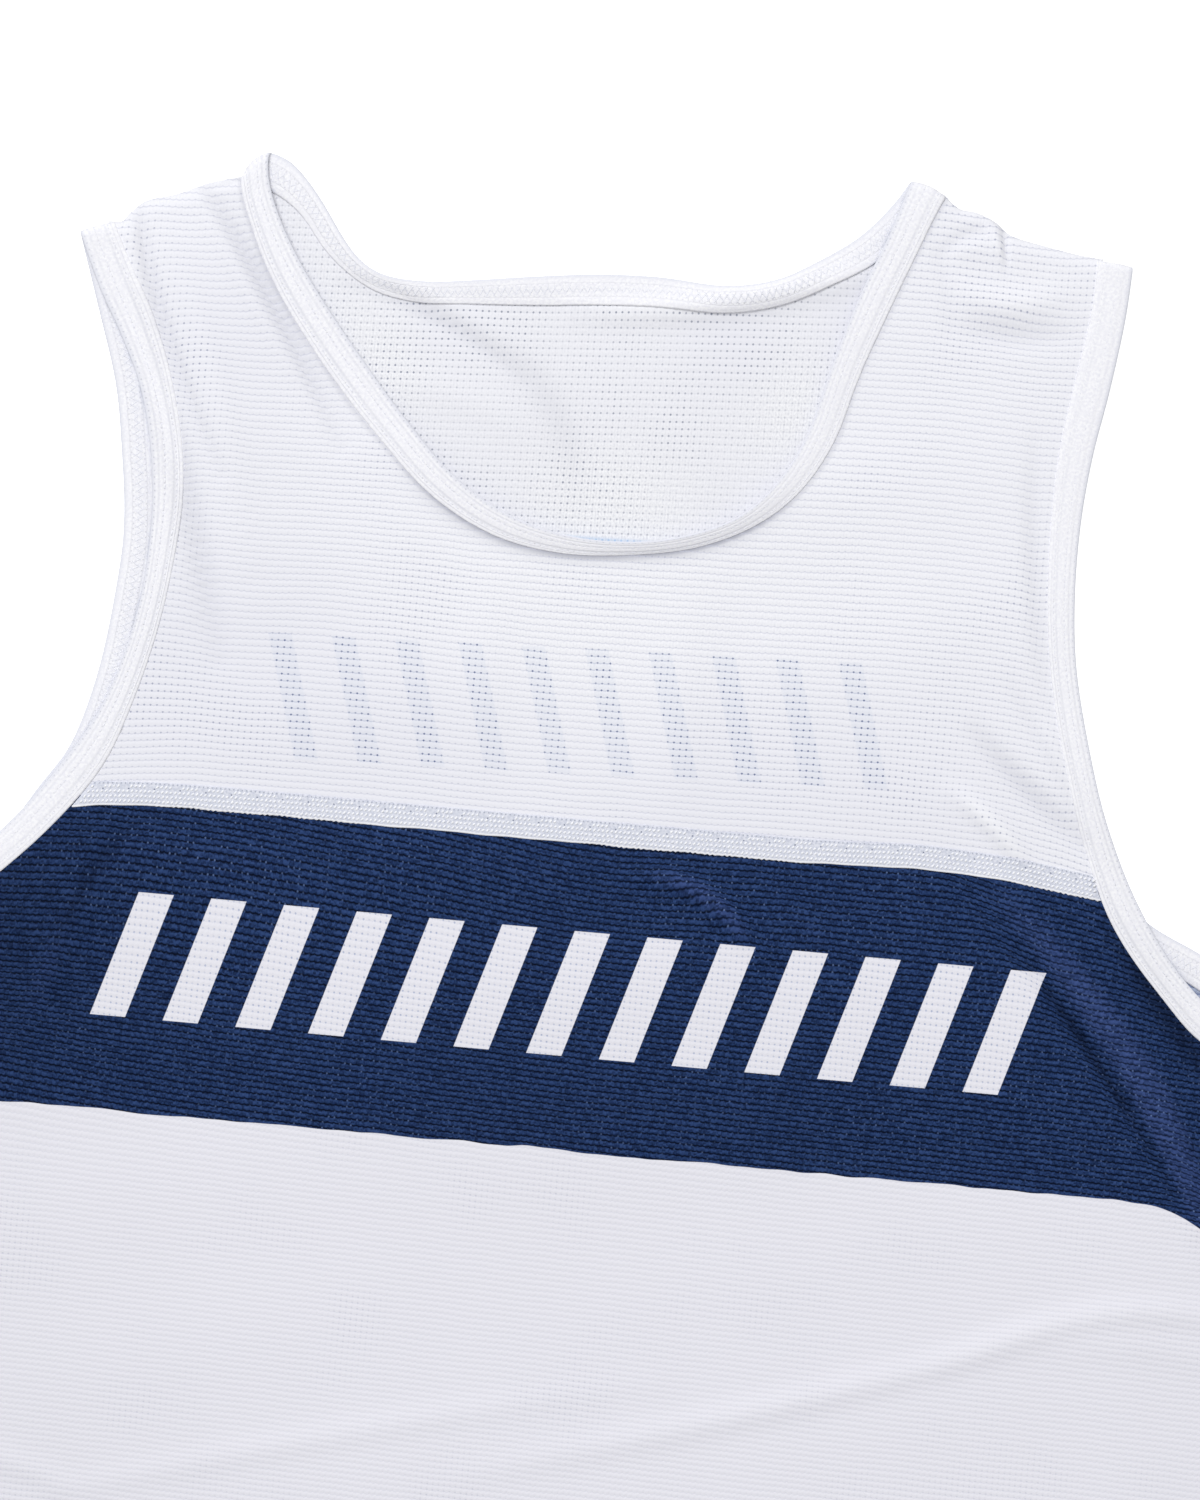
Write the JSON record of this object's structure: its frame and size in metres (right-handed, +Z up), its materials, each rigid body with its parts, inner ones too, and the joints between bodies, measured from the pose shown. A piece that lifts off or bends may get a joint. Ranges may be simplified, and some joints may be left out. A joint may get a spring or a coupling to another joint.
{
  "type": "running singlet",
  "caption": "Sleeveless running singlet in pin-hole mesh knit, laid flat front up, with a bound neck and armholes and a dark band across the chest.",
  "frame": {"origin": "on the surface the garment lies on, under the middle of its outline", "axes": "+Y from hem to neck along the garment, +X to the right seen from above, +Z up out of the front"},
  "size_m": [0.5, 0.689, 0.0126],
  "materials": {
    "white_mesh": "white pin-hole mesh knit with fine crosswise ribs, matt, slightly see-through",
    "banded_mesh": "the same knit, white, with a navy band printed below the chest seam, matt",
    "seam_stitch": "wide white cover stitch over the lapped edges",
    "binding": "fine white jersey, folded double and stitched, matt"
  },
  "bodies": {
    "root": {"front_yoke": "white_mesh", "back_yoke": "white_mesh", "front_body": "banded_mesh", "back_body": "banded_mesh", "front_seam": "seam_stitch", "back_seam": "seam_stitch", "neck_binding": "binding", "armhole_binding_left": "binding", "armhole_binding_right": "binding"}
  },
  "joints": []
}
